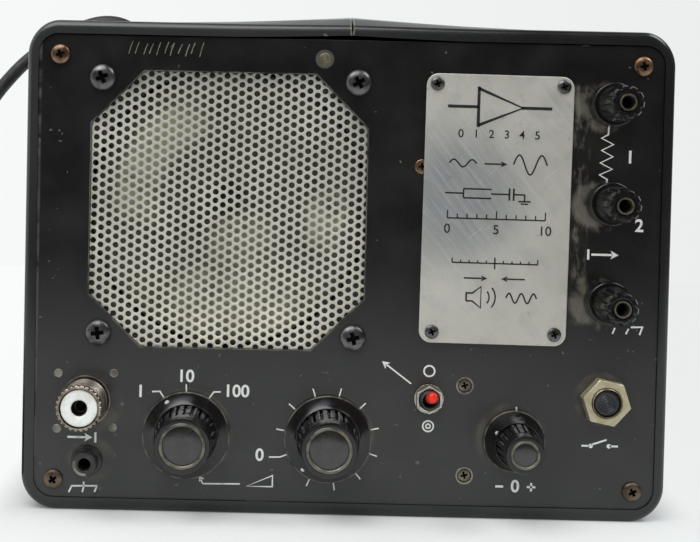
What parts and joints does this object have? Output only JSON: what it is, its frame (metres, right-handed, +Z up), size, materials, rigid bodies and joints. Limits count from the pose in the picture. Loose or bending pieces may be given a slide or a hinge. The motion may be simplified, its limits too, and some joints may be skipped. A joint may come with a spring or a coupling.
{
  "type": "power amplifier",
  "caption": "Bench power amplifier: black sleeve case, front panel with loudspeaker, screw terminals, knobs, sockets and mains lead.",
  "frame": {"origin": "centre of the flat base", "axes": "+X to the right as seen from the front, -Y out of the front panel, +Z up"},
  "size_m": [0.3603, 0.2107, 0.1811],
  "materials": {
    "black_plastic": "semi-gloss",
    "black_paint": "satin",
    "knob_plastic": "gloss",
    "cap_metal": "satin, dull brass tone",
    "grille_metal": "satin",
    "plate_metal": "brushed",
    "steel": "satin",
    "dark_steel": "satin",
    "brass_screw": "tarnished",
    "zinc": "yellow passivated",
    "white_plastic": "matt",
    "red_plastic": "gloss",
    "cone_paper": "matt",
    "board": "satin",
    "copper_winding": "lacquered copper",
    "cord_rubber": "matt"
  },
  "bodies": {
    "amplifier": {"case_sleeve": "black_plastic", "front_panel": "black_paint", "rear_panel": "black_paint", "chassis": "steel", "heat_sink": "dark_steel", "speaker_grille": "grille_metal", "speaker_frame": "dark_steel", "speaker_magnet": "dark_steel", "speaker_screw_1": "dark_steel", "speaker_screw_2": "dark_steel", "speaker_screw_3": "dark_steel", "speaker_screw_4": "dark_steel", "panel_screw_1": "brass_screw", "panel_screw_2": "brass_screw", "panel_screw_3": "brass_screw", "panel_screw_4": "brass_screw", "nameplate": "plate_metal", "range_switch": "steel", "gain_pot": "steel", "offset_pot": "steel", "toggle_switch": "steel", "toggle_nut": "steel", "breaker_body": "dark_steel", "breaker_nut": "zinc", "input_socket": "steel", "input_insulator": "white_plastic", "earth_socket": "knob_plastic", "terminal_post_1": "knob_plastic", "terminal_post_2": "knob_plastic", "terminal_post_3": "knob_plastic", "cable_gland": "cord_rubber", "mains_cord": "cord_rubber", "mains_cord_coil": "cord_rubber", "coil_tie": "white_plastic", "plug_base": "knob_plastic", "plug_cover": "knob_plastic", "transformer_core": "dark_steel", "transformer_winding": "copper_winding", "circuit_board": "board"},
    "range_control": {"range_knob": "knob_plastic", "range_knob_cap": "cap_metal", "range_shaft": "steel"},
    "gain_control": {"gain_knob": "knob_plastic", "gain_knob_cap": "cap_metal", "gain_shaft": "steel"},
    "offset_control": {"offset_knob": "knob_plastic", "offset_knob_cap": "cap_metal", "offset_shaft": "steel"},
    "toggle": {"toggle_lever": "red_plastic"},
    "breaker_reset": {"breaker_button": "knob_plastic"},
    "cone": {"speaker_cone": "cone_paper"},
    "washer_1": {"terminal_washer_1": "steel"},
    "head_1": {"terminal_head_1": "knob_plastic"},
    "washer_2": {"terminal_washer_2": "steel"},
    "head_2": {"terminal_head_2": "knob_plastic"},
    "washer_3": {"terminal_washer_3": "steel"},
    "head_3": {"terminal_head_3": "knob_plastic"}
  },
  "joints": [
    {"name": "range_turn", "type": "hinge", "parent": "amplifier", "child": "range_control", "pos_m": [-0.0517, -0.0684, 0.0257], "axis": [0, 1, 0], "range_deg": [0, 60]},
    {"name": "gain_turn", "type": "hinge", "parent": "amplifier", "child": "gain_control", "pos_m": [-0.0051, -0.0684, 0.0254], "axis": [0, 1, 0], "range_deg": [-315, 0]},
    {"name": "offset_turn", "type": "hinge", "parent": "amplifier", "child": "offset_control", "pos_m": [0.0561, -0.0684, 0.0261], "axis": [0, 1, 0], "range_deg": [-87, 213]},
    {"name": "toggle_throw", "type": "hinge", "parent": "amplifier", "child": "toggle", "pos_m": [0.0278, -0.0604, 0.0394], "axis": [1, 0, 0], "range_deg": [0, 26]},
    {"name": "breaker_trip", "type": "slide", "parent": "amplifier", "child": "breaker_reset", "axis": [0, -1, 0], "range_m": [0, 0.0035]},
    {"name": "cone_travel", "type": "slide", "parent": "amplifier", "child": "cone", "axis": [0, -1, 0], "range_m": [-0.0015, 0.0015], "stiffness_N_per_m": 900},
    {"name": "head_lift_1", "type": "slide", "parent": "amplifier", "child": "washer_1", "axis": [0, -1, 0], "range_m": [0, 0.004]},
    {"name": "head_turn_1", "type": "hinge", "parent": "washer_1", "child": "head_1", "pos_m": [0.08479, -0.0744, 0.137], "axis": [0, -1, 0], "range_deg": [0, 1800]},
    {"name": "head_lift_2", "type": "slide", "parent": "amplifier", "child": "washer_2", "axis": [0, -1, 0], "range_m": [0, 0.004]},
    {"name": "head_turn_2", "type": "hinge", "parent": "washer_2", "child": "head_2", "pos_m": [0.08479, -0.0744, 0.1048], "axis": [0, -1, 0], "range_deg": [0, 1800]},
    {"name": "head_lift_3", "type": "slide", "parent": "amplifier", "child": "washer_3", "axis": [0, -1, 0], "range_m": [0, 0.004]},
    {"name": "head_turn_3", "type": "hinge", "parent": "washer_3", "child": "head_3", "pos_m": [0.08479, -0.0744, 0.0726], "axis": [0, -1, 0], "range_deg": [0, 1800]}
  ],
  "couplings": [
    {"joint": "head_turn_1", "follows": "head_lift_1", "rad_per_m": 7854},
    {"joint": "head_turn_2", "follows": "head_lift_2", "rad_per_m": 7854},
    {"joint": "head_turn_3", "follows": "head_lift_3", "rad_per_m": 7854}
  ]
}
